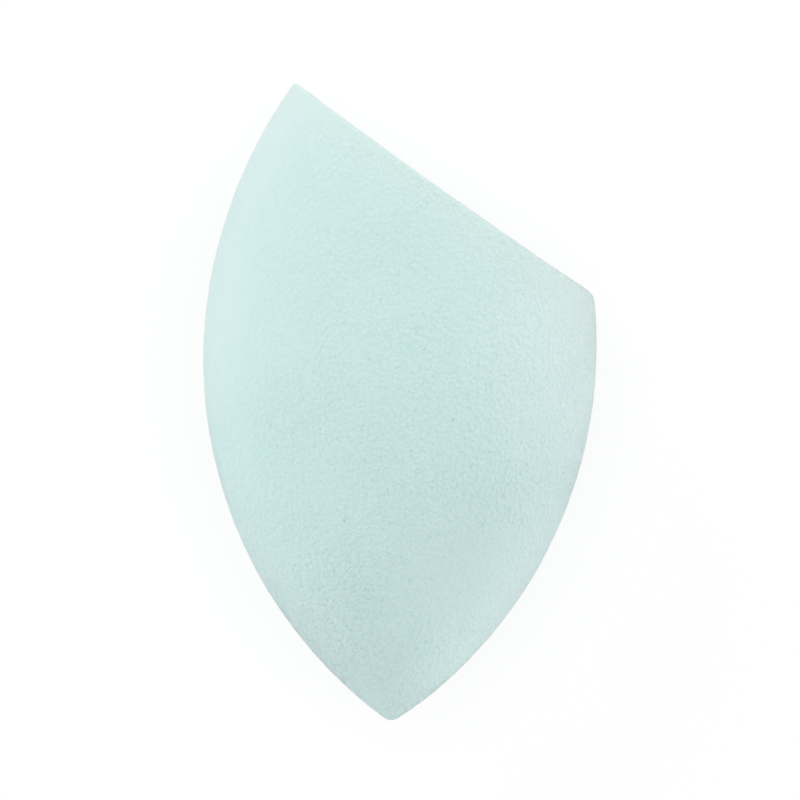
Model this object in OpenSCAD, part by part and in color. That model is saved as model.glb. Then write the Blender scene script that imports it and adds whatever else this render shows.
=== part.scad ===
// Makeup blending sponge: one piece of soft foam, turned to a pointed drop and cut off on a slant.
// It lies on its flank, as on a table. The drop's axis runs along X, with the tip towards -X, and the slanted
// cut faces +X and -Y. The origin is the middle of the small flat that it lies on, under the girth.
// Lengths are in millimetres and angles in degrees.

/* [Drop] */
// Width across the girth, the widest ring
girth_width = 40; // [30:0.5:50]
// Distance from the tip to the girth
girth_distance = 37.4; // [28:0.1:50]
// Radius of the rounded tip
tip_radius = 1.4; // [0.5:0.1:4]
// Radius of the flank's curve between the girth and the cut
shoulder_radius = 48; // [40:0.5:80]

/* [Cut] */
// Distance from the tip to where the cut crosses the drop's axis
cut_distance = 57; // [48:0.5:66]
// Slope of the cut, away from square to the drop's axis
cut_slope = 33.8; // [15:0.1:45]

/* [Rest] */
// How far the soft flank is pressed flat where it lies
rest_depth = 0.5; // [0.2:0.1:1.5]

/* [Colour] */
// Colour of the foam
foam_colour = "#cbe7e3"; // ["#cbe7e3":Mint, "#f3b7c4":Pink, "#e8d2bb":Beige, "#cfc6e6":Lilac]

/* [Hidden] */

// Facets of a round shape
round_facets = 180;
// How far a cutting shape runs past the drop
overrun = 1;

girth_radius = girth_width / 2;
axis_height = girth_radius - rest_depth;

// The flank from the tip to the girth is one arc, which runs along the axis at the girth and smoothly into the
// round tip. Its centre lies level with the girth, past the axis, and the distance between its centre and the
// tip's is the difference of their radii.
flank_radius = (pow(girth_radius, 2) + pow(girth_distance - tip_radius, 2) - pow(tip_radius, 2))
    / (2 * (girth_radius - tip_radius));
flank_centre = girth_radius - flank_radius;

// Where the tip's arc and the flank's arc touch, on the line through their centres, measured from the tip
touch_distance = tip_radius - tip_radius * (girth_distance - tip_radius) / (flank_radius - tip_radius);

// The shoulder past the girth is an arc that runs along the axis there too. Uncut, it would close the drop at
// drop_length from the tip.
shoulder_centre = girth_radius - shoulder_radius;
drop_length = girth_distance + sqrt(pow(shoulder_radius, 2) - pow(shoulder_centre, 2));

// The part of a circle that lies between two distances from the tip and on the outer side of the axis
module round_stretch(radius, centre, near, far) {
    intersection() {
        translate(centre)
            circle(r = radius, $fn = round_facets);
        translate([0, near])
            square([girth_radius + overrun, far - near]);
    }
}

// Half of the drop's section, from its axis outwards, with the tip at the origin
module half_section() {
    round_stretch(tip_radius, [0, tip_radius], 0, touch_distance);
    round_stretch(flank_radius, [flank_centre, girth_distance], touch_distance, girth_distance);
    round_stretch(shoulder_radius, [shoulder_centre, girth_distance], girth_distance, drop_length);
}

// What the slanted cut takes off the upright drop, lower towards -Y
module offcut() {
    reach = drop_length + girth_width + overrun;
    translate([0, 0, cut_distance])
        rotate([cut_slope, 0, 0])
            translate([-reach, -reach, 0])
                cube([2 * reach, 2 * reach, reach]);
}

// The cut drop, upright on its tip
module cut_drop() {
    difference() {
        rotate_extrude($fn = round_facets)
            half_section();
        offcut();
    }
}

// What the table takes off the lying drop
module table_press() {
    translate([-drop_length, -girth_width, -rest_depth - overrun])
        cube([2 * drop_length, 2 * girth_width, rest_depth + overrun]);
}

// The whole sponge, lying on its flank
module foam_body() {
    color(foam_colour)
        difference() {
            translate([-girth_distance, 0, axis_height])
                rotate([0, 90, 0])
                    cut_drop();
            table_press();
        }
}

foam_body();
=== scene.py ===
"""Looks of a makeup blending sponge: one soft foam drop with a slanted cut, lying on its flank.

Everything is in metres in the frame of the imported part. The drop's axis runs along X, with the tip towards -X
and the cut facing +X and -Y, and the middle of the small flat that it lies on is the origin. The camera looks
straight down.
"""

import logging
import math
from dataclasses import dataclass
from enum import Enum

import bpy
import numpy as np
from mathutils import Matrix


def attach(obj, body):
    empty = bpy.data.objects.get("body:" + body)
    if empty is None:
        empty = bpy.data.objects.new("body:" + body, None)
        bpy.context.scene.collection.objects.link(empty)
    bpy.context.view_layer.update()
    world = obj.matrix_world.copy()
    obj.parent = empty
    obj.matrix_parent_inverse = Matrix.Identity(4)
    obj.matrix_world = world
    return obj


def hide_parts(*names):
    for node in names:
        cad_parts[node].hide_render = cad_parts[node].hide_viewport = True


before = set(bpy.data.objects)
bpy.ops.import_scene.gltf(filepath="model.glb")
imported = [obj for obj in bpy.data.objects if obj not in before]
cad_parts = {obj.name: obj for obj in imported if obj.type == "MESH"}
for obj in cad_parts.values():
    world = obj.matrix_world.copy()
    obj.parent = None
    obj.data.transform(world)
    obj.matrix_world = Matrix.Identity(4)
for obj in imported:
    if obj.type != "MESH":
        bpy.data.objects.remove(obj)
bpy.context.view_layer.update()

LOG = logging.getLogger("makeup_sponge")
MM = 0.001
FRAME_PIXELS = 800
RIM_SHARE = "rim_share"

Colour = tuple[float, float, float]
Point = tuple[float, float, float]
Array = np.ndarray
Pair = tuple[Array, Array]
Names = tuple[str, ...]
Node = bpy.types.Node
Tree = bpy.types.NodeTree
Socket = bpy.types.NodeSocket
Feed = float | Socket


class Surface(Enum):
    """The two kinds of face that the foam shows, by material index."""

    FLANK = 0
    CUT = 1


def placed_object(name: str, data: bpy.types.ID) -> bpy.types.Object:
    """Puts a new object into the scene.

    Args:
        name: The object's name.
        data: Its mesh, lamp or camera.

    Returns:
        The object.
    """
    made = bpy.data.objects.new(name, data)
    bpy.context.scene.collection.objects.link(made)
    return made


# Shape

# Large odd numbers that scramble a corner's place and the seed into one whole number of 32 bits
PLACE_SCRAMBLERS = (73856093, 19349663, 83492791)
SEED_SCRAMBLER = 2654435761
MIXER = 0x45D9F3B
ALL_BITS = 0xFFFFFFFF
LOW_BITS = 0xFFFF


def lattice_noise(points: Array, cell: float, seed: int) -> Array:
    """Smooth noise in space, from -1 to 1.

    Each corner of a cubic lattice has a height that its whole-number place and the seed scramble to, and a
    point takes the eight heights round it, mixed by the smooth step of how far it is along each side.

    Args:
        points: Places, as an array whose last side is x, y, z.
        cell: Side of a lattice cell, in the points' unit.
        seed: Number that picks the heights.

    Returns:
        One value for each point.
    """
    place = points / cell
    floor = np.floor(place)
    share = place - floor
    share = share * share * (3.0 - 2.0 * share)
    corner = floor.astype(np.int64)
    total = np.zeros(points.shape[:-1])
    for step in np.ndindex(2, 2, 2):
        whole = corner + np.array(step)
        key = np.bitwise_xor.reduce(whole * np.array(PLACE_SCRAMBLERS), axis=-1) ^ (seed * SEED_SCRAMBLER)
        key = key & ALL_BITS
        for _ in range(2):
            key = ((key ^ (key >> 16)) * MIXER) & ALL_BITS
        height = ((key ^ (key >> 16)) & LOW_BITS) / (LOW_BITS / 2.0) - 1.0
        weight = np.prod(np.where(np.array(step) == 1, share, 1.0 - share), axis=-1)
        total += height * weight
    return total


@dataclass(frozen=True)
class DropSection:
    """Half of the drop's section through its axis, in millimetres.

    It is made of three arcs: the round tip, the flank from the tip to the girth, and the shoulder from the
    girth to the cut. Distances along the axis are measured from the girth, positive towards the cut.
    """

    girth_radius: float = 20.0
    girth_distance: float = 37.4
    tip_radius: float = 1.4
    shoulder_radius: float = 48.0
    cut_distance: float = 57.0
    cut_slope: float = math.radians(33.8)

    @property
    def tip_reach(self) -> float:
        """Distance from the centre of the tip's arc to the girth."""
        return self.girth_distance - self.tip_radius

    @property
    def flank_radius(self) -> float:
        """Radius of the arc that touches the tip's arc inside and runs along the axis at the girth."""
        squares = self.girth_radius**2 + self.tip_reach**2 - self.tip_radius**2
        return squares / (2.0 * (self.girth_radius - self.tip_radius))

    @property
    def tip_turn(self) -> float:
        """Angle that the tip's arc turns through, from the axis to where it meets the flank."""
        return math.acos(self.tip_reach / (self.flank_radius - self.tip_radius))

    @property
    def tip_length(self) -> float:
        """Length of the tip's arc."""
        return self.tip_radius * self.tip_turn

    @property
    def girth_length(self) -> float:
        """Length along the section from the tip to the girth."""
        return self.tip_length + self.flank_radius * (math.pi / 2.0 - self.tip_turn)

    @property
    def cut_crossing(self) -> float:
        """Where the cut crosses the axis, measured from the girth."""
        return self.cut_distance - self.girth_distance

    @property
    def shoulder_centre(self) -> float:
        """How far the centre of the shoulder's arc lies out from the axis, negative because it is past it."""
        return self.girth_radius - self.shoulder_radius

    @property
    def cut_facing(self) -> Array:
        """Direction square to the cut, out of the foam."""
        return np.array([math.cos(self.cut_slope), -math.sin(self.cut_slope), 0.0])

    @property
    def cut_upward(self) -> Array:
        """Direction up the cut's slope, towards its high side."""
        return np.array([math.sin(self.cut_slope), math.cos(self.cut_slope), 0.0])

    def rim(self, turn: Array) -> Pair:
        """Where the cut meets the shoulder, at each angle round the axis.

        The cut's line, along = crossing + lean * out, is put into the shoulder's circle, and out is the
        positive root of the quadratic that this gives.

        Args:
            turn: Angles round the axis, 0 at the cut's high side.

        Returns:
            Distance along the axis and distance out from it.
        """
        lean = math.tan(self.cut_slope) * np.cos(turn)
        a = 1.0 + lean**2
        b = 2.0 * (lean * self.cut_crossing - self.shoulder_centre)
        c = self.cut_crossing**2 + self.shoulder_centre**2 - self.shoulder_radius**2
        out = (np.sqrt(b**2 - 4.0 * a * c) - b) / (2.0 * a)
        return self.cut_crossing + lean * out, out

    def at_length(self, length: Array) -> Pair:
        """A point of the section by its length from the tip.

        Each arc turns by its length over its radius: the tip's from the axis, the flank's up to the girth and
        the shoulder's down from it.

        Args:
            length: Lengths along the section.

        Returns:
            Distance along the axis and distance out from it.
        """
        tip = length / self.tip_radius
        flank = (self.girth_length - length) / self.flank_radius
        shoulder = (length - self.girth_length) / self.shoulder_radius
        pieces = [length < self.tip_length, length < self.girth_length]
        along = np.select(
            pieces,
            [self.tip_radius * (1.0 - np.cos(tip)) - self.girth_distance, -self.flank_radius * np.sin(flank)],
            self.shoulder_radius * np.sin(shoulder),
        )
        out = np.select(
            pieces,
            [self.tip_radius * np.sin(tip), self.girth_radius - self.flank_radius * (1.0 - np.cos(flank))],
            self.girth_radius - self.shoulder_radius * (1.0 - np.cos(shoulder)),
        )
        return along, out

    def rim_length(self, turn: Array) -> Array:
        """Length along the section from the tip to the cut's rim, at each angle round the axis."""
        along, _ = self.rim(turn)
        return self.girth_length + self.shoulder_radius * np.arcsin(along / self.shoulder_radius)


@dataclass(frozen=True)
class CutFinish:
    """How the cut's rim is rounded and how its face is dished and bowed, in millimetres.

    The bow is a very shallow trough across the cut. It is bow_depth deep at bow_middle, which is measured up
    the cut's slope from the drop's axis, and it rises from there with bow_radius. The foam behind the cut
    moves with it, by less than half once it lies deeper than bow_reach.
    """

    high_radius: float = 0.35
    low_radius: float = 1.6
    dish: float = 0.14
    bow_depth: float = 0.18
    bow_middle: float = -7.35
    bow_radius: float = 625.0
    bow_reach: float = 6.0

    def radius(self, turn: Array) -> Array:
        """Radius of the rounded rim, which goes from high_radius to low_radius with the turn's cosine."""
        share = 0.5 + 0.5 * np.cos(turn)
        return self.low_radius + (self.high_radius - self.low_radius) * share


@dataclass(frozen=True)
class Wave:
    """One layer of unevenness in the foam's surface, in millimetres."""

    cell: float
    height: float
    seed: int


def band_corners(points: Array, beside: Array) -> Array:
    """Corners of the quads between each ring and the next, from the points and the ones beside them."""
    return np.stack([points[:-1], beside[:-1], beside[1:], points[1:]], axis=-2)


@dataclass
class FoamBody:
    """The whole sponge: one closed skin from the tip over the flank and the rim to the middle of the cut."""

    section: DropSection
    cut: CutFinish
    rest_depth: float = 0.5
    press_softness: float = 0.22
    flank_margin: float = 8.0
    cut_margin: float = 1.6
    map_gap: float = 1.0
    columns: int = 348
    flank_rings: int = 218
    rim_rings: int = 7
    cut_rings: int = 55
    tip_fineness: float = 0.72
    tip_stretch: float = 0.018
    rim_fineness: float = 0.6
    rim_stretch: float = 0.012
    waves: tuple[Wave, ...] = (
        Wave(cell=24.0, height=0.07, seed=11),
        Wave(cell=7.5, height=0.03, seed=12),
        Wave(cell=2.6, height=0.016, seed=13),
        Wave(cell=0.9, height=0.026, seed=14),
    )

    @property
    def axis_height(self) -> float:
        """Height of the drop's axis above what it lies on, in millimetres."""
        return self.section.girth_radius - self.rest_depth

    @property
    def first_cut_band(self) -> int:
        """Number of the first band of quads that belongs to the cut."""
        return self.flank_rings + self.rim_rings - 2

    def turns(self) -> Array:
        """Angles of the mesh's columns round the axis."""
        return np.arange(self.columns) * (2.0 * math.pi / self.columns)

    def flank_grid(self, turn: Array) -> Pair:
        """Rings from the tip to where the rounded rim starts.

        A ring is at the same share of each column's length, so the rings lean over little by little, from
        square to the axis at the tip to the cut's own slope. The steps are finer at both ends: a step's size
        is 1 less each end's fineness times exp(-distance / stretch), both as shares of the length.

        Args:
            turn: Angles of the columns.

        Returns:
            Distance along the axis and out from it, as rings by columns, in millimetres.
        """
        where = (np.arange(self.flank_rings) + 0.5) / self.flank_rings
        near_tip = self.tip_fineness * np.exp(-where / self.tip_stretch)
        near_rim = self.rim_fineness * np.exp((where - 1.0) / self.rim_stretch)
        step = 1.0 - near_tip - near_rim
        share = np.cumsum(step) / step.sum()
        ends = self.section.rim_length(turn) - self.rim_run(turn)
        return self.section.at_length(share[:, None] * ends[None, :])

    def rim_angle(self, turn: Array) -> Array:
        """Angle inside the foam between the shoulder and the cut.

        It is the angle between the directions back along the shoulder and in along the cut, whose cosine is
        their dot product over the product of their lengths.

        Args:
            turn: Angles of the columns.

        Returns:
            One angle for each column.
        """
        along, out = self.section.rim(turn)
        back = np.stack([self.section.shoulder_centre - out, along])
        inward = np.stack([self.section.cut_crossing - along, -out])
        cosine = (back * inward).sum(0) / (np.linalg.norm(back, axis=0) * np.linalg.norm(inward, axis=0))
        return np.arccos(cosine)

    def rim_run(self, turn: Array) -> Array:
        """Length of flank under the rounded rim: its radius over the tangent of half the rim's angle."""
        return self.cut.radius(turn) / np.tan(self.rim_angle(turn) / 2.0)

    def rim_grid(self, turn: Array) -> Pair:
        """Rings of the rounded rim, from the flank to the cut.

        Each column is a circular arc, as the curve through a start a, a corner c and an end b with the
        weights (1 - t)^2, 2 t (1 - t) w and t^2, where w is the sine of half the rim's angle.

        Args:
            turn: Angles of the columns.

        Returns:
            Distance along the axis and out from it, as rings by columns, in millimetres.
        """
        run = self.rim_run(turn)
        corner = np.stack(self.section.rim(turn))
        start = np.stack(self.section.at_length(self.section.rim_length(turn) - run))
        inward = np.stack([self.section.cut_crossing - corner[0], -corner[1]])
        end = corner + inward / np.linalg.norm(inward, axis=0) * run
        t = (np.arange(1, self.rim_rings + 1) / self.rim_rings)[:, None]
        weights = (1.0 - t) ** 2, 2.0 * t * (1.0 - t) * np.sin(self.rim_angle(turn) / 2.0), t**2
        weighted = (weight * point[:, None] for weight, point in zip(weights, (start, corner, end)))
        along, out = sum(weighted) / sum(weights)
        return along, out

    def cut_grid(self, turn: Array, edge: Array) -> Pair:
        """Rings of the cut, from the rounded rim inwards, without the middle point.

        A ring is at the same share of each column's straight line from the rim to the axis, and it sinks into
        the foam by the dish's depth times (1 - q^2)^2, where q falls from 1 at the rim to 0 at the axis.

        Args:
            turn: Angles of the columns.
            edge: Distance out of the rim's last ring, for each column.

        Returns:
            Distance along the axis and out from it, as rings by columns, in millimetres.
        """
        q = 1.0 - np.arange(1, self.cut_rings + 1)[:, None] / (self.cut_rings + 1)
        out = q * edge[None, :]
        lean = math.tan(self.section.cut_slope) * np.cos(turn)
        sunk = self.cut.dish * (1.0 - q**2) ** 2 / math.cos(self.section.cut_slope)
        return self.section.cut_crossing + lean[None, :] * out - sunk, out

    def grid(self) -> tuple[Array, Array, Array]:
        """The smooth skin as rings by columns, with its two end points.

        Returns:
            Places of the rings' points, the tip and the middle of the cut, in millimetres.
        """
        turn = self.turns()
        parts = [self.flank_grid(turn), self.rim_grid(turn)]
        parts.append(self.cut_grid(turn, parts[1][1][-1]))
        along, out = (np.concatenate([part[i] for part in parts]) for i in (0, 1))
        rings = np.stack([along, out * np.cos(turn), self.axis_height + out * np.sin(turn)], axis=-1)
        tip = np.array([-self.section.girth_distance, 0.0, self.axis_height])
        sunk = self.cut.dish / math.cos(self.section.cut_slope)
        middle = np.array([self.section.cut_crossing - sunk, 0.0, self.axis_height])
        return rings, tip, middle

    def outward(self, rings: Array, tip: Array, middle: Array) -> Array:
        """Outward directions of the points: the cross product of the steps to the next column and ring.

        Args:
            rings: Places of the rings' points.
            tip: Place of the tip.
            middle: Place of the middle of the cut.

        Returns:
            One unit vector for each of the rings' points.
        """
        ends = [np.broadcast_to(end, rings[:1].shape) for end in (tip, middle)]
        stacked = np.concatenate([ends[0], rings, ends[1]])
        down = stacked[2:] - stacked[:-2]
        round_axis = np.roll(rings, -1, axis=1) - np.roll(rings, 1, axis=1)
        normal = np.cross(round_axis, down)
        return normal / np.linalg.norm(normal, axis=-1, keepdims=True)

    def bowed(self, points: Array) -> Array:
        """Sinks the cut into its bow, with the foam behind it.

        A point moves square to the cut by the bow's depth less v^2 / 2r, where v is its distance up the slope
        from the bow's middle and r the bow's radius, and by less the deeper it lies, as exp(-depth / reach).

        Args:
            points: Places in millimetres.

        Returns:
            The moved places.
        """
        square = self.section.cut_facing
        place = points - np.array([self.section.cut_crossing, 0.0, self.axis_height])
        past_middle = place @ self.section.cut_upward - self.cut.bow_middle
        sunk = self.cut.bow_depth - past_middle**2 / (2.0 * self.cut.bow_radius)
        faded = sunk * np.exp(np.minimum(place @ square, 0.0) / self.cut.bow_reach)
        return points - faded[:, None] * square

    def uneven(self, points: Array) -> Array:
        """How far each point stands proud of the smooth skin: the waves' noises added up, in millimetres."""
        return sum(wave.height * lattice_noise(points, wave.cell, wave.seed) for wave in self.waves)

    def pressed(self, points: Array) -> Array:
        """Flattens what would be below the table.

        A height z becomes the smooth greater of z and 0: the greater of the two plus (k - |z|)^2 / 4k within
        the softness k of the table.

        Args:
            points: Places in millimetres.

        Returns:
            The places with their new heights.
        """
        height = points[..., 2]
        soft = np.clip(self.press_softness - np.abs(height), 0.0, None) ** 2 / (4.0 * self.press_softness)
        flat = points.copy()
        flat[..., 2] = np.maximum(height, 0.0) + soft
        return flat

    def points(self) -> Array:
        """All points of the mesh: the tip, the rings from first to last, the middle of the cut.

        The smooth skin is bowed, moved out by its unevenness and pressed flat on the table, in this order.

        Returns:
            Places in metres.
        """
        rings, tip, middle = self.grid()
        normal = self.outward(rings, tip, middle)
        tip_facing = np.array([-1.0, 0.0, 0.0])
        everything = np.concatenate([[tip], rings.reshape(-1, 3), [middle]])
        out = np.concatenate([[tip_facing], normal.reshape(-1, 3), [self.section.cut_facing]])
        everything = self.bowed(everything) + out * self.uneven(everything)[:, None]
        return self.pressed(everything) * MM

    def rim_share(self) -> Array:
        """How near each point is to the cut's rim, 1 on it and 0 further away.

        A ring's distance is added up along its column, ring to ring, from the middle of the rounded rim, and
        the share is the smooth step 3t^2 - 2t^3 of what is left of the margin, t = 1 - distance / margin.

        Returns:
            One value for each point of the mesh.
        """
        rings, _, _ = self.grid()
        steps = np.linalg.norm(np.diff(rings, axis=0), axis=-1)
        run = np.concatenate([np.zeros((1, self.columns)), np.cumsum(steps, axis=0)])
        past = run - run[self.flank_rings + self.rim_rings // 2]
        distance = np.where(past < 0.0, -past / self.flank_margin, past / self.cut_margin)
        left = np.clip(1.0 - distance, 0.0, 1.0)
        share = left * left * (3.0 - 2.0 * left)
        return np.concatenate([[0.0], share.ravel(), [0.0]])

    def bake_map(self) -> Array:
        """Places of the faces' corners on the flat map, in the order of the faces' corners.

        The flank and the rounded rim are unrolled round the axis and parted along the underside: a corner
        lies at its turn times the girth's radius, and at its length along its column from the tip. The cut
        lies above them, as seen square to it. Both are at full size, and one scale brings them into the unit
        square.

        Returns:
            Two numbers for each corner.
        """
        rings, tip, middle = self.grid()
        steps = np.linalg.norm(np.diff(rings, axis=0), axis=-1)
        run = np.cumsum(np.concatenate([np.linalg.norm(rings[:1] - tip, axis=-1), steps]), axis=0)
        width = 2.0 * math.pi * self.section.girth_radius
        column_width = width / self.columns
        underside = self.columns * 3 // 4
        column = (np.arange(self.columns) - underside) % self.columns + np.zeros_like(run)
        flat = np.stack([column * column_width, run], axis=-1)
        beside = np.stack([(column + 1.0) * column_width, np.roll(run, -1, axis=1)], axis=-1)
        end = np.stack([(column[0] + 0.5) * column_width, np.zeros(self.columns)], axis=-1)
        above = run.max() + self.map_gap + self.section.girth_radius - self.axis_height
        view = np.stack([self.section.cut_upward, [0.0, 0.0, 1.0]], axis=1)
        seen = rings @ view + [width / 2.0, above]
        seen_beside = np.roll(seen, -1, axis=1)
        centre = np.broadcast_to(middle @ view + [width / 2.0, above], seen[-1].shape)
        parts = (
            band_corners(flat, beside)[: self.first_cut_band],
            band_corners(seen, seen_beside)[self.first_cut_band :],
            np.stack([end, beside[0], flat[0]], axis=1),
            np.stack([seen[-1], seen_beside[-1], centre], axis=1),
        )
        places = np.concatenate([part.reshape(-1, 2) for part in parts])
        return (places + self.map_gap) / (width + 2.0 * self.map_gap)

    def faces(self) -> Pair:
        """The quads between the rings and the triangles at both ends, by the numbers of their points.

        Returns:
            The quads, band by band, and the triangles, the tip's first.
        """
        count = self.flank_rings + self.rim_rings + self.cut_rings
        number = 1 + np.arange(count * self.columns).reshape(count, self.columns, 1)
        beside = np.roll(number, -1, axis=1)
        quads = band_corners(number, beside).reshape(-1, 4)
        tip = np.concatenate([np.zeros_like(number[0]), beside[0], number[0]], axis=1)
        last = np.full_like(number[-1], number.max() + 1)
        middle = np.concatenate([number[-1], beside[-1], last], axis=1)
        return quads, np.concatenate([tip, middle])

    def build(self) -> bpy.types.Object:
        """Makes the mesh object, smooth all over, with the cut's faces marked for their own material.

        Returns:
            The object, without materials.
        """
        points = self.points()
        quads, triangles = self.faces()
        mesh = bpy.data.meshes.new("foam_drop")
        mesh.vertices.add(len(points))
        mesh.vertices.foreach_set("co", points.astype(np.float32).ravel())
        corners = np.concatenate([quads.ravel(), triangles.ravel()])
        mesh.loops.add(len(corners))
        mesh.loops.foreach_set("vertex_index", corners.astype(np.int32))
        sides = np.concatenate([np.full(len(quads), 4), np.full(len(triangles), 3)])
        starts = np.concatenate([[0], np.cumsum(sides)[:-1]])
        mesh.polygons.add(len(sides))
        mesh.polygons.foreach_set("loop_start", starts.astype(np.int32))
        surface = np.full(len(sides), Surface.FLANK.value)
        surface[self.first_cut_band * self.columns : len(quads)] = Surface.CUT.value
        surface[len(quads) + self.columns :] = Surface.CUT.value
        mesh.update(calc_edges=True)
        mesh.validate()
        mesh.polygons.foreach_set("material_index", surface.astype(np.int32))
        mesh.polygons.foreach_set("use_smooth", np.ones(len(sides), bool))
        flat_map = mesh.uv_layers.new(name="OFBake")
        flat_map.data.foreach_set("uv", self.bake_map().astype(np.float32).ravel())
        rim = mesh.attributes.new(RIM_SHARE, "FLOAT", "POINT")
        rim.data.foreach_set("value", self.rim_share().astype(np.float32))
        mesh.update()
        return placed_object("foam_drop", mesh)

    def dress(self, drop: bpy.types.Object, finishes: dict[Surface, "FoamFinish"]) -> None:
        """Gives the drop its materials, hangs it on the root body and hides the imported foam_body part.

        Args:
            drop: The mesh object that build made.
            finishes: The finish of each kind of surface.
        """
        for surface in Surface:
            drop.data.materials.append(finishes[surface].material())
        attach(drop, "root")
        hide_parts("foam_body")


# Shading


class NodeKit:
    """Short ways to add and join nodes in one tree.

    The inputs and outputs of a node that are in use are those that its own settings leave enabled.
    """

    def __init__(self, tree: Tree) -> None:
        """Keeps the tree that the nodes go into, and empties it."""
        self.tree = tree
        tree.nodes.clear()

    def join(self, socket: Socket, value: object) -> None:
        """Joins an output socket to an input, or sets the input's own value.

        Args:
            socket: The input.
            value: The output socket, or the value.
        """
        if isinstance(value, Socket):
            self.tree.links.new(value, socket)
        else:
            socket.default_value = value

    def feed(self, node: Node, name: str, value: object) -> None:
        """Joins or sets the input that has this name and is in use."""
        self.join(next(s for s in node.inputs if s.name == name and s.enabled), value)

    def add(self, kind: str, **settings: object) -> Node:
        """Adds a node and sets its properties, and its input sockets where a name has a capital letter.

        Args:
            kind: Blender's name of the node type.
            **settings: Property names in small letters, or input names with spaces written as "_".

        Returns:
            The new node.
        """
        node = self.tree.nodes.new(kind)
        for name, value in settings.items():
            if name[0].isupper():
                self.feed(node, name.replace("_", " "), value)
            else:
                setattr(node, name, value)
        return node

    def group(self, tree: Tree, **values: object) -> Node:
        """Adds a node for a group, with values for its inputs."""
        return self.add("ShaderNodeGroup", node_tree=tree, **values)

    def result(self, node: Node, *values: object) -> Socket:
        """Joins or sets a node's inputs in use, in order.

        Args:
            node: The node.
            *values: Output sockets or values for the inputs.

        Returns:
            The node's first output in use.
        """
        for socket, value in zip([s for s in node.inputs if s.enabled], values):
            self.join(socket, value)
        return next(s for s in node.outputs if s.enabled)

    def math(self, operation: str, *values: Feed) -> Socket:
        """Result of a Math node."""
        return self.result(self.add("ShaderNodeMath", operation=operation), *values)

    def vector(self, operation: str, *values: object) -> Socket:
        """Result of a Vector Math node."""
        return self.result(self.add("ShaderNodeVectorMath", operation=operation), *values)

    def ramp(self, value: Feed, low: Feed, high: Feed, start: Feed = 0.0, end: Feed = 1.0) -> Socket:
        """Smooth step of a value from start at low to end at high."""
        node = self.add("ShaderNodeMapRange", interpolation_type="SMOOTHSTEP")
        return self.result(node, value, low, high, start, end)

    def mix(self, share: Feed, first: Colour | Socket, second: Colour, blend: str = "MIX") -> Socket:
        """Colour between first and second, by the share of second."""
        node = self.add("ShaderNodeMix", data_type="RGBA", blend_type=blend)
        return self.result(node, share, first if isinstance(first, Socket) else (*first, 1.0), (*second, 1.0))

    def shader(self, share: Socket, first: Node, second: Node) -> Socket:
        """Two shaders mixed by the share of the second."""
        return self.result(self.add("ShaderNodeMixShader"), share, first.outputs[0], second.outputs[0])


class GroupKit(NodeKit):
    """A kit for the tree of a new node group, with its inputs by name."""

    def __init__(self, name: str, places: Names, numbers: Names, outputs: Names) -> None:
        """Makes the group, empty but for its sockets.

        Args:
            name: Name of the group.
            places: Names of the inputs that are places.
            numbers: Names of the inputs that are numbers.
            outputs: Names of the outputs, which are numbers too.
        """
        super().__init__(bpy.data.node_groups.new(name, "ShaderNodeTree"))
        sockets = (
            ("INPUT", "NodeSocketVector", places),
            ("INPUT", "NodeSocketFloat", numbers),
            ("OUTPUT", "NodeSocketFloat", outputs),
        )
        for side, kind, names in sockets:
            for socket in names:
                self.tree.interface.new_socket(name=socket, in_out=side, socket_type=kind)
        self.given = {socket.name: socket for socket in self.add("NodeGroupInput").outputs if socket.name}


# Between which distances from a cell's middle, in cells, its strut rises, its pit ends and its groove opens
STRUT_RISE, PIT_END, GROOVE_RISE = (0.1, 0.8), (0.2, 0.46), (0.5, 0.85)
# Scale of the noise that bends the cells, as a share of theirs
BENDER_SCALE = 0.6
# A pore is at its full depth over this share of its radius, and the shallowest has this share of the depth
PORE_FLOOR, SHALLOWEST_PORE = 0.3, 0.3
# Between these values of a noise or the hue's noise, its smooth step rises
NOISE_RISE, HUE_RISE = (0.3, 0.7), (0.35, 0.7)
# How far the hue's noise lies aside of the depth's, in metres, and its scale as a multiple of the flecks'
HUE_ASIDE, HUE_SCALE = (0.31, 0.17, 0.23), 1.5


def open_cells() -> Tree:
    """Node group for the foam's open cells.

    Space is divided round scattered points, and the distance to the nearest one, in cells, is low in a cell's
    middle and high on the struts between cells. A noise bends the cells first, so that none is regular.

    Returns:
        A group that puts out Height, 0 in a cell and 1 on a strut, Pit, 1 in a cell's middle, and Groove, 1
        on the struts' meeting lines, which are furrows where the cells bulge instead.
    """
    kit = GroupKit("Open cells", ("Vector",), ("Cell Size", "Bend"), ("Height", "Pit", "Groove"))
    place, size, bend = kit.given.values()
    scale = kit.math("DIVIDE", 1.0, size)
    wider = kit.math("MULTIPLY", scale, BENDER_SCALE)
    bender = kit.add("ShaderNodeTexNoise", Vector=place, Scale=wider, Detail=1.0)
    centred = kit.vector("SUBTRACT", bender.outputs["Color"], (0.5, 0.5, 0.5))
    bent = kit.vector("ADD", place, kit.vector("SCALE", centred, kit.math("MULTIPLY", bend, size)))
    cells = kit.add("ShaderNodeTexVoronoi", feature="F1", Vector=bent, Scale=scale)
    away = cells.outputs["Distance"]
    height, groove = kit.ramp(away, *STRUT_RISE), kit.ramp(away, *GROOVE_RISE)
    kit.add("NodeGroupOutput", Height=height, Pit=kit.ramp(away, *PIT_END, 1.0, 0.0), Groove=groove)
    return kit.tree


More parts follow.
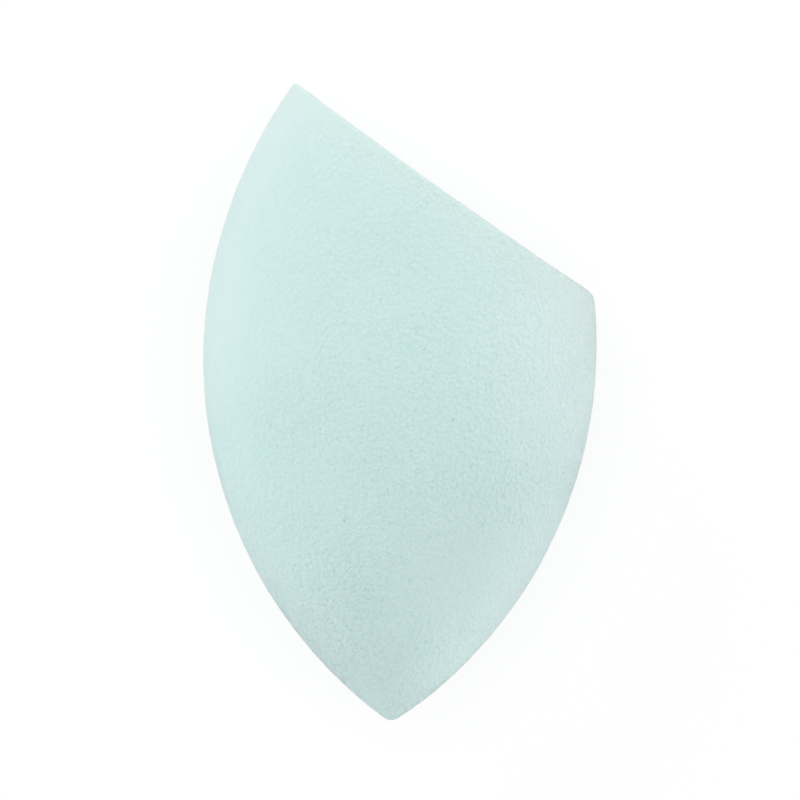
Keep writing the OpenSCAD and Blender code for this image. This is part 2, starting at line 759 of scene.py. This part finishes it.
def scattered_pores() -> Tree:
    """Node group for one layer of pores.

    Each scattered point in space is the middle of a round pore, where a random number of its cell is under
    the share. The mask falls from 1 to 0 over the outer part of the pore's radius, and the square of another
    random number makes each pore more or less deep, so that most are shallow.

    Returns:
        A group that puts out Pore, up to 1 inside a pore.
    """
    kit = GroupKit("Scattered pores", ("Vector",), ("Spacing", "Width", "Share"), ("Pore",))
    place, spacing, width, share = kit.given.values()
    scale = kit.math("DIVIDE", 1.0, spacing)
    cells = kit.add("ShaderNodeTexVoronoi", feature="F1", Vector=place, Scale=scale)
    away = kit.math("MULTIPLY", cells.outputs["Distance"], spacing)
    edge = kit.math("MULTIPLY", width, 0.5)
    mask = kit.ramp(away, kit.math("MULTIPLY", edge, PORE_FLOOR), edge, 1.0, 0.0)
    number = kit.add("ShaderNodeSeparateColor", Color=cells.outputs["Color"])
    chosen = kit.math("LESS_THAN", number.outputs[0], share)
    skewed = kit.math("MULTIPLY", kit.math("POWER", number.outputs[1], 2.0), 1.0 - SHALLOWEST_PORE)
    depth = kit.math("MULTIPLY", chosen, kit.math("ADD", skewed, SHALLOWEST_PORE))
    kit.add("NodeGroupOutput", Pore=kit.math("MULTIPLY", mask, depth))
    return kit.tree


def dye_patches() -> Tree:
    """Node group for how the dye varies through the foam.

    Its depth is a wide noise and a finer one, mixed, and its hue is a fine noise of its own.

    Returns:
        A group that puts out Depth, 0 where the dye is thinnest and 1 where it is deepest, and Cool, 1 where
        it is bluest.
    """
    kit = GroupKit("Dye patches", ("Vector",), ("Patch", "Fleck", "Fleckiness"), ("Depth", "Cool"))
    place, patch, fleck, fleckiness = kit.given.values()
    layers = []
    for size in (patch, fleck):
        noise = kit.add("ShaderNodeTexNoise", Vector=place, Scale=kit.math("DIVIDE", 1.0, size), Detail=2.0)
        layers.append(kit.ramp(noise.outputs[0], *NOISE_RISE))
    finer = kit.math("MULTIPLY", kit.math("SUBTRACT", layers[1], layers[0]), fleckiness)
    aside = kit.vector("ADD", place, HUE_ASIDE)
    scale = kit.math("DIVIDE", HUE_SCALE, fleck)
    hue = kit.add("ShaderNodeTexNoise", Vector=aside, Scale=scale, Detail=2.0, Roughness=0.6)
    cool = kit.ramp(hue.outputs[0], *HUE_RISE)
    kit.add("NodeGroupOutput", Depth=kit.math("ADD", layers[0], finer), Cool=cool)
    return kit.tree


def round_patch() -> Tree:
    """Node group for a round patch where the foam's skin differs from the rest, in relief or in painted light
    and shade.

    The value goes by a smooth step of the distance from the patch's middle, from Inside in the middle to 1 at
    its radius.

    Returns:
        A group that puts out Strength.
    """
    kit = GroupKit("Round patch", ("Vector", "Middle"), ("Radius", "Inside"), ("Strength",))
    place, middle, radius, inside = kit.given.values()
    away = kit.vector("DISTANCE", place, middle)
    kit.add("NodeGroupOutput", Strength=kit.ramp(away, 0.0, radius, inside, 1.0))
    return kit.tree


class Groups:
    """The foam's node groups, each made once."""

    def __init__(self) -> None:
        """Makes the groups."""
        self.cells = open_cells()
        self.pores = scattered_pores()
        self.dye = dye_patches()
        self.patch = round_patch()


@dataclass(frozen=True)
class PoreLayer:
    """One size of pore, in metres, with its share of the places, its painted shade, which darkens the pore as
    shade in it would, and the depth of its relief.
    """

    spacing: float
    width: float
    share: float
    shade: Colour
    relief: float


@dataclass(frozen=True)
class ReliefPatch:
    """A round patch of the skin, in metres, and how strong its relief is in the middle."""

    middle: Point
    radius: float
    inside: float


@dataclass(frozen=True)
class PaintedLightPatch:
    """A round patch of painted light and shade on the skin, in metres, and what its colour is multiplied by in
    the middle: above 1 it is painted light, below 1 painted shade.
    """

    middle: Point
    radius: float
    shade: Colour


@dataclass(frozen=True)
class Patterns:
    """What a foam material's colour and height are made from, and the place where all of it is read."""

    place: Socket
    cells: Node
    pebbles: Node
    pores: tuple[tuple[PoreLayer, Socket], ...]
    strength: Socket


@dataclass(frozen=True)
class FoamFinish:
    """Matte dyed foam with open cells. Sizes are in metres and colours are linear."""

    name: str
    groups: Groups
    pale: Colour = (0.694, 0.848, 0.829)
    deep: Colour = (0.655, 0.825, 0.804)
    cool: Colour = (0.698, 0.836, 0.852)
    cool_share: float = 0.55
    # Painted glow near the cut's rim: a warmer, greyer colour that stands in for light coming through the thin
    # edge
    rim_glow: Colour = (0.723, 0.840, 0.814)
    rim_glow_share: float = 0.5
    dye_patch: float = 0.017
    dye_fleck: float = 0.0007
    fleckiness: float = 0.3
    # Painted shade: the cells' pits and the grooves between pebbles are darker, as shade falling into them
    # would make them
    painted_pit_shade: Colour = (0.90, 0.955, 0.945)
    painted_groove_shade: Colour = (0.95, 0.977, 0.97)
    cell_size: float = 0.00026
    cell_bend: float = 0.5
    cell_relief: float = 0.000016
    pebble_size: float = 0.00050
    pebble_bend: float = 0.4
    pebble_relief: float = 0.000110
    swell_size: float = 0.00085
    swell_relief: float = 0.000100
    # Each pore layer is sunk in relief and darkened by painted shade
    pores: tuple[PoreLayer, ...] = (
        PoreLayer(spacing=0.00044, width=0.00032, share=0.75, shade=(0.80, 0.915, 0.903), relief=0.00003),
        PoreLayer(spacing=0.00110, width=0.00044, share=0.45, shade=(0.73, 0.87, 0.855), relief=0.00004),
    )
    roughness: tuple[float, float] = (0.94, 0.82)
    diffuse_roughness: float = 0.9
    ior: float = 1.45
    specular: float = 0.25
    sheen: float = 0.4
    sheen_roughness: float = 0.45
    sheen_tint: Colour = (0.93, 0.99, 1.0)
    drift_size: float = 0.009
    drift: tuple[float, float] = (0.82, 1.06)
    patches: tuple[ReliefPatch, ...] = (
        ReliefPatch(middle=(0.0298, 0.0129, 0.0195), radius=0.033, inside=0.11),
        ReliefPatch(middle=(0.0038, 0.0187, 0.0261), radius=0.024, inside=0.22),
        ReliefPatch(middle=(-0.0188, 0.0135, 0.0280), radius=0.0156, inside=0.65),
        ReliefPatch(middle=(-0.0245, -0.0075, 0.0313), radius=0.0145, inside=0.5),
        ReliefPatch(middle=(-0.0255, 0.0050, 0.0309), radius=0.0153, inside=1.55),
        ReliefPatch(middle=(0.0125, -0.0020, 0.0372), radius=0.0190, inside=0.70),
    )
    # Round patches of painted light and shade, lighter or darker where the light falls unevenly
    painted_light_patches: tuple[PaintedLightPatch, ...] = (
        PaintedLightPatch(middle=(-0.0136, 0.0178, 0.0195), radius=0.023, shade=(0.955, 0.997, 0.993)),
        PaintedLightPatch(middle=(0.0020, -0.0165, 0.0290), radius=0.019, shade=(1.07, 1.03, 1.03)),
        PaintedLightPatch(middle=(-0.0311, -0.0069, 0.0230), radius=0.010, shade=(1.05, 1.06, 1.06)),
        PaintedLightPatch(middle=(-0.0196, -0.0074, 0.0332), radius=0.011, shade=(0.957, 0.962, 0.962)),
    )

    def relief_strength(self, kit: NodeKit, place: Socket) -> Socket:
        """How strongly the relief shows: the patches' strengths multiplied, drifting a little everywhere.

        Args:
            kit: Kit of the material's tree.
            place: Where the noise and the patches are read.

        Returns:
            The strength's socket.
        """
        noise = kit.add("ShaderNodeTexNoise", Vector=place, Scale=1.0 / self.drift_size, Detail=1.0)
        strength = kit.ramp(noise.outputs[0], *NOISE_RISE, *self.drift)
        for patch in self.patches:
            placed = kit.group(self.groups.patch, Vector=place, Middle=patch.middle, Radius=patch.radius,
                               Inside=patch.inside)
            strength = kit.math("MULTIPLY", strength, placed.outputs[0])
        return strength

    def patterns(self, kit: NodeKit, place: Socket) -> Patterns:
        """Puts the cells, the pebbles, the pores and the relief's strength into a material.

        Args:
            kit: Kit of the material's tree.
            place: Where all of them are read.

        Returns:
            The nodes and sockets that have them.
        """
        cells = kit.group(self.groups.cells, Vector=place, Cell_Size=self.cell_size, Bend=self.cell_bend)
        pebbles = kit.group(self.groups.cells, Vector=place, Cell_Size=self.pebble_size,
                            Bend=self.pebble_bend)
        pores = []
        for layer in self.pores:
            placed = kit.group(self.groups.pores, Vector=place, Spacing=layer.spacing, Width=layer.width,
                               Share=layer.share)
            pores.append((layer, placed.outputs[0]))
        return Patterns(place, cells, pebbles, tuple(pores), self.relief_strength(kit, place))

    def colour(self, kit: NodeKit, patterns: Patterns) -> Socket:
        """Colour of the foam: dye, round patches of painted light and shade, a painted glow near the cut's rim,
        and painted shade in pits, grooves and pores.

        Args:
            kit: Kit of the material's tree.
            patterns: The material's patterns.

        Returns:
            The colour's socket.
        """
        place = patterns.place
        dye = kit.group(self.groups.dye, Vector=place, Patch=self.dye_patch, Fleck=self.dye_fleck,
                        Fleckiness=self.fleckiness)
        colour = kit.mix(dye.outputs["Depth"], self.pale, self.deep)
        colour = kit.mix(kit.math("MULTIPLY", dye.outputs["Cool"], self.cool_share), colour, self.cool)
        # Painted light and shade: each patch multiplies the colour, lighter or darker towards its middle
        for painted_patch in self.painted_light_patches:
            patch = kit.group(self.groups.patch, Vector=place, Middle=painted_patch.middle, Radius=painted_patch.radius,
                              Inside=0.0)
            colour = kit.mix(kit.math("SUBTRACT", 1.0, patch.outputs[0]), colour, painted_patch.shade, "MULTIPLY")
        # Painted glow of light through the thin edge, by how near each point is to the cut's rim
        rim = kit.add("ShaderNodeAttribute", attribute_type="GEOMETRY", attribute_name=RIM_SHARE)
        colour = kit.mix(kit.math("MULTIPLY", rim.outputs["Fac"], self.rim_glow_share), colour, self.rim_glow)
        # Painted shade, darker in pits, grooves and pores
        painted_shades = [
            (patterns.cells.outputs["Pit"], self.painted_pit_shade),
            (patterns.pebbles.outputs["Groove"], self.painted_groove_shade),
            *((pore, layer.shade) for layer, pore in patterns.pores),
        ]
        for share, shade in painted_shades:
            colour = kit.mix(kit.math("MULTIPLY", share, patterns.strength), colour, shade, "MULTIPLY")
        return colour

    def height(self, kit: NodeKit, patterns: Patterns) -> Socket:
        """Height of the fine relief in metres: struts and swells stand out, pebbles' edges and pores sink.

        Args:
            kit: Kit of the material's tree.
            patterns: The material's patterns.

        Returns:
            The height's socket.
        """
        swell = kit.add("ShaderNodeTexNoise", Vector=patterns.place, Scale=1.0 / self.swell_size, Detail=3.0)
        height = kit.math("MULTIPLY", patterns.cells.outputs["Height"], self.cell_relief)
        pebbles = kit.math("MULTIPLY", patterns.pebbles.outputs["Height"], self.pebble_relief)
        height = kit.math("SUBTRACT", height, pebbles)
        height = kit.math("ADD", height, kit.math("MULTIPLY", swell.outputs[0], self.swell_relief))
        for layer, pore in patterns.pores:
            height = kit.math("SUBTRACT", height, kit.math("MULTIPLY", pore, layer.relief))
        return kit.math("MULTIPLY", height, patterns.strength)

    def material(self) -> bpy.types.Material:
        """Makes the material, whose patterns all read Object coordinates.

        Returns:
            The material.
        """
        made = bpy.data.materials.new(self.name)
        made.use_nodes = True
        kit = NodeKit(made.node_tree)
        patterns = self.patterns(kit, kit.add("ShaderNodeTexCoord").outputs["Object"])
        bump = kit.add("ShaderNodeBump", Strength=1.0, Distance=1.0, Height=self.height(kit, patterns))
        shader = kit.add(
            "ShaderNodeBsdfPrincipled",
            Base_Color=self.colour(kit, patterns),
            Roughness=kit.ramp(patterns.cells.outputs["Height"], 0.0, 1.0, *self.roughness),
            Normal=bump.outputs["Normal"],
            IOR=self.ior,
            Diffuse_Roughness=self.diffuse_roughness,
            Specular_IOR_Level=self.specular,
            Sheen_Weight=self.sheen,
            Sheen_Roughness=self.sheen_roughness,
            Sheen_Tint=(*self.sheen_tint, 1.0),
        )
        kit.add("ShaderNodeOutputMaterial", Surface=shader.outputs[0])
        return made


# Studio

WHITE = (1.0, 1.0, 1.0, 1.0)
# Cyan tint of the lamps on the left, where the photo's light is a little cooler
COOL_LIGHT = (0.75, 1.0, 1.0)


@dataclass(frozen=True)
class SoftLamp:
    """A round area lamp that looks at the sponge.

    level is the brightness that it gives a white matte face turned to it, azimuth is measured from +X towards
    +Y, and elevation above the table. Its power is level * pi^2 * distance^2.
    """

    name: str
    azimuth: float
    elevation: float
    level: float
    width: float = 0.42
    distance: float = 0.6
    colour: Colour = (1.0, 1.0, 1.0)

    def build(self, target: Array) -> None:
        """Makes the lamp.

        Args:
            target: The point that it is turned to.
        """
        data = bpy.data.lights.new(self.name, "AREA")
        data.shape, data.size = "DISK", self.width
        data.energy = self.level * math.pi**2 * self.distance**2
        data.color = self.colour
        lamp = placed_object(self.name, data)
        a, e = math.radians(self.azimuth), math.radians(self.elevation)
        away = np.array([math.cos(a) * math.cos(e), math.sin(a) * math.cos(e), math.sin(e)])
        lamp.location = target + self.distance * away
        lamp.rotation_euler = (math.pi / 2.0 - e, 0.0, a + math.pi / 2.0)


@dataclass(frozen=True)
class FloorFinish:
    """Plain pale floor that shows as white paper with the sponge's soft shadow.

    What a lens or a gloss sees of it is mostly an even white, and for the rest the lit paper. The even white
    is a little over full white, which makes up for the paper's being a little under it. Its share grows to 1
    between the distances near and far from the sponge, so that the floor runs into the white backdrop. The
    paper's grain is as dark as grain_shade times the paper.
    """

    paper: Colour = (0.93, 0.93, 0.93)
    grain_size: float = 0.0008
    grain_shade: float = 0.985
    roughness: float = 0.9
    specular: float = 0.1
    white_share: float = 0.8
    white_level: float = 1.04
    near: float = 0.06
    far: float = 0.2

    def material(self) -> bpy.types.Material:
        """Makes the floor's material.

        Returns:
            The material.
        """
        made = bpy.data.materials.new("white_paper_floor")
        made.use_nodes = True
        kit = NodeKit(made.node_tree)
        place = kit.add("ShaderNodeTexCoord").outputs["Object"]
        share = kit.ramp(kit.vector("LENGTH", place), self.near, self.far, self.white_share, 1.0)
        grain = kit.add("ShaderNodeTexNoise", Vector=place, Scale=1.0 / self.grain_size, Detail=3.0)
        darkest = tuple(self.grain_shade * c for c in self.paper)
        lit = kit.add(
            "ShaderNodeBsdfPrincipled",
            Base_Color=kit.mix(kit.ramp(grain.outputs[0], *NOISE_RISE), self.paper, darkest),
            Roughness=self.roughness,
            Specular_IOR_Level=self.specular,
        )
        white = kit.add("ShaderNodeEmission", Color=WHITE, Strength=self.white_level)
        shown = kit.math("MULTIPLY", seen_rays(kit), share)
        kit.add("ShaderNodeOutputMaterial", Surface=kit.shader(shown, lit, white))
        return made


def seen_rays(kit: NodeKit) -> Socket:
    """1 for what the camera, a gloss or a clear piece sees, and 0 for what lights a matte face.

    Args:
        kit: Kit of the tree that asks.

    Returns:
        The number's socket.
    """
    path = kit.add("ShaderNodeLightPath")
    rays = [path.outputs[name] for name in ("Is Camera Ray", "Is Glossy Ray", "Is Transmission Ray")]
    return kit.math("MAXIMUM", kit.math("MAXIMUM", rays[0], rays[1]), rays[2])


@dataclass
class Studio:
    """Floor, backdrop light, lamps and camera."""

    floor_finish: FloorFinish
    lamps: tuple[SoftLamp, ...]
    ambient: float = 0.435
    floor_size: float = 3.0
    pixel: float = 0.10194 * MM
    look_at: Point = (-4.7 * MM, -0.11 * MM, 19.5 * MM)
    lean: float = math.radians(1.37)
    camera_height: float = 0.6
    clip: tuple[float, float] = (0.01, 10.0)

    def build_floor(self) -> None:
        """Makes the floor: one large square at the height that the sponge lies on."""
        half = self.floor_size / 2.0
        mesh = bpy.data.meshes.new("studio_floor")
        corners = [(-half, -half, 0.0), (half, -half, 0.0), (half, half, 0.0), (-half, half, 0.0)]
        mesh.from_pydata(corners, [], [(0, 1, 2, 3)])
        mesh.materials.append(self.floor_finish.material())
        floor = placed_object("studio_floor", mesh)

    def build_world(self) -> None:
        """Makes the even light from all round, which shows as plain white behind the sponge."""
        world = bpy.data.worlds.new("studio_white")
        world.use_nodes = True
        kit = NodeKit(world.node_tree)
        light = kit.add("ShaderNodeBackground", Color=WHITE, Strength=self.ambient)
        shown = kit.add("ShaderNodeBackground", Color=WHITE, Strength=1.0)
        kit.add("ShaderNodeOutputWorld", Surface=kit.shader(seen_rays(kit), light, shown))
        bpy.context.scene.world = world

    def build_camera(self) -> None:
        """Makes the camera, straight above the sponge and turned so that the tip points down the picture."""
        data = bpy.data.cameras.new("camera")
        data.type = "ORTHO"
        data.ortho_scale = self.pixel * FRAME_PIXELS
        data.clip_start, data.clip_end = self.clip
        camera = placed_object("camera", data)
        camera.location = np.array(self.look_at) + (0.0, 0.0, self.camera_height)
        camera.rotation_euler = (0.0, 0.0, self.lean - math.pi / 2.0)
        bpy.context.scene.camera = camera

    def build(self) -> None:
        """Makes the whole studio and sets how colours are shown."""
        self.build_camera()
        self.build_floor()
        self.build_world()
        for lamp in self.lamps:
            lamp.build(np.array(self.look_at))
        bpy.context.scene.view_settings.view_transform = "Standard"


def main() -> None:
    """Builds the studio and the sponge, in order."""
    logging.basicConfig(level=logging.INFO, format="%(name)s: %(message)s")
    studio = Studio(
        FloorFinish(),
        (
            SoftLamp("top_lamp", azimuth=0.0, elevation=89.0, level=0.36),
            SoftLamp("key_lamp", azimuth=45.0, elevation=35.0, level=0.24),
            SoftLamp("left_lamp", azimuth=90.0, elevation=12.0, level=0.081, colour=COOL_LIGHT),
            SoftLamp("low_left_lamp", azimuth=135.0, elevation=12.0, level=0.045, colour=COOL_LIGHT),
            SoftLamp("right_lamp", azimuth=300.0, elevation=25.0, level=0.205),
            SoftLamp("low_right_lamp", azimuth=225.0, elevation=12.0, level=0.125),
        ),
    )
    studio.build()
    groups = Groups()
    cut_finish = FoamFinish("foam_cut", groups, cell_size=0.00024, cell_relief=0.00003, patches=(), painted_light_patches=())
    finishes = {Surface.FLANK: FoamFinish("foam_flank", groups), Surface.CUT: cut_finish}
    body = FoamBody(DropSection(), CutFinish())
    drop = body.build()
    body.dress(drop, finishes)
    LOG.info("%s: %d points, %d faces", drop.name, len(drop.data.vertices), len(drop.data.polygons))


if __name__ == "__main__":
    main()
